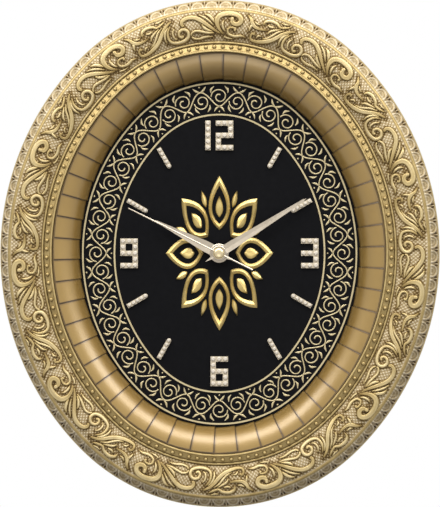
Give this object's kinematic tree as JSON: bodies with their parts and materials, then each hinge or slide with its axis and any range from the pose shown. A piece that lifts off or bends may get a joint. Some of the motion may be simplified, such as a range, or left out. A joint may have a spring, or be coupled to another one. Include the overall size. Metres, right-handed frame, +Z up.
{
  "type": "wall clock",
  "caption": "Oval wall clock with a gilt scroll frame, panelled cove, black dial with stone markers, centre ornament, three hands and a quartz movement.",
  "frame": {"origin": "centre of the hanger's keyhole entry, on the wall plane", "axes": "+Z up along the clock's height, +X to the viewer's right, +Y into the wall; the dial faces -Y"},
  "size_m": [0.352, 0.0464, 0.406],
  "materials": {
    "antique_gold": "antiqued gold paint on moulded plastic",
    "bronze_gold": "satin bronze-gold paint on moulded plastic",
    "black_board": "matt black face on fibreboard",
    "gold_foil": "pale gold foil line",
    "gold_trim": "bright gold plated trim",
    "tray_metal": "pale champagne plated tray",
    "stone": "faceted foil-backed stone",
    "hand_metal": "ridged champagne plated sheet",
    "cap_metal": "polished pale gold",
    "zinc_steel": "zinc plated steel",
    "hanger_steel": "yellow zinc plated steel",
    "black_abs": "black moulded ABS",
    "brass": "turned brass",
    "rubber": "matt black",
    "cell_jacket": "plain printed cell jacket",
    "board": "green laminate",
    "crystal_can": "plain metal can",
    "chip": "black epoxy",
    "core_iron": "soft iron sheet",
    "bobbin": "natural plastic",
    "copper": "enamelled copper wire",
    "magnet": "sintered magnet",
    "acetal": "natural acetal"
  },
  "bodies": {
    "root": {"outer_frame": "antique_gold", "cove_ring": "bronze_gold", "frame_screws": "zinc_steel", "dial_plate": "black_board", "outer_dial_line": "gold_foil", "inner_dial_line": "gold_foil", "centre_ornament": "gold_trim", "numeral_12": "tray_metal", "numeral_3": "tray_metal", "numeral_6": "tray_metal", "numeral_9": "tray_metal", "hour_batons": "tray_metal", "rhinestones": "stone", "dial_clips": "zinc_steel", "clip_screws": "zinc_steel", "hanger_plate": "hanger_steel", "hanger_screws": "zinc_steel", "movement_case": "black_abs", "movement_cover": "black_abs", "threaded_bushing": "brass", "rubber_washer": "rubber", "brass_washer": "brass", "hex_nut": "brass", "battery": "cell_jacket", "positive_contact": "zinc_steel", "negative_contact": "zinc_steel", "circuit_board": "board", "quartz_crystal": "crystal_can", "control_chip": "chip", "coil_core": "core_iron", "coil_bobbin": "bobbin", "coil_winding": "copper", "stator": "core_iron"},
    "seconds": {"second_wheel": "acetal", "second_hand": "hand_metal", "centre_cap": "cap_metal"},
    "rotor": {"rotor_magnet": "magnet", "rotor_pinion": "acetal"},
    "intermediate": {"intermediate_wheel": "acetal"},
    "third": {"third_wheel": "acetal"},
    "centre": {"centre_gear": "acetal"},
    "minutes": {"minute_tube": "acetal", "clutch_spring": "brass", "minute_hand": "hand_metal"},
    "motion": {"motion_wheel": "acetal", "setting_knob": "black_abs"},
    "hours": {"hour_wheel": "acetal", "hour_hand": "hand_metal"}
  },
  "joints": [
    {"name": "second_hand_spin", "type": "hinge", "parent": "root", "child": "seconds", "pos_m": [0, -0.02, -0.1785], "axis": [0, 1, 0], "continuous": true},
    {"name": "intermediate_spin", "type": "hinge", "parent": "root", "child": "intermediate", "pos_m": [0, -0.009, -0.19138], "axis": [0, 1, 0], "continuous": true},
    {"name": "rotor_spin", "type": "hinge", "parent": "root", "child": "rotor", "pos_m": [0.00722, -0.009, -0.18875], "axis": [0, 1, 0], "continuous": true},
    {"name": "third_spin", "type": "hinge", "parent": "root", "child": "third", "pos_m": [-0.01182, -0.013, -0.17533], "axis": [0, 1, 0], "continuous": true},
    {"name": "centre_gear_spin", "type": "hinge", "parent": "root", "child": "centre", "pos_m": [0, -0.015, -0.1785], "axis": [0, 1, 0], "continuous": true},
    {"name": "minute_hand_spin", "type": "hinge", "parent": "root", "child": "minutes", "pos_m": [0, -0.02, -0.1785], "axis": [0, 1, 0], "continuous": true},
    {"name": "setting_knob_spin", "type": "hinge", "parent": "root", "child": "motion", "pos_m": [0.01091, -0.015, -0.1722], "axis": [0, 1, 0], "continuous": true},
    {"name": "hour_hand_spin", "type": "hinge", "parent": "root", "child": "hours", "pos_m": [0, -0.02, -0.1785], "axis": [0, 1, 0], "continuous": true}
  ],
  "couplings": [
    {"joint": "intermediate_spin", "follows": "second_hand_spin", "ratio": -6},
    {"joint": "rotor_spin", "follows": "second_hand_spin", "ratio": 30},
    {"joint": "third_spin", "follows": "second_hand_spin", "ratio": -0.125},
    {"joint": "centre_gear_spin", "follows": "second_hand_spin", "ratio": 0.016667},
    {"joint": "setting_knob_spin", "follows": "minute_hand_spin", "ratio": -0.33333},
    {"joint": "hour_hand_spin", "follows": "minute_hand_spin", "ratio": 0.083333}
  ]
}
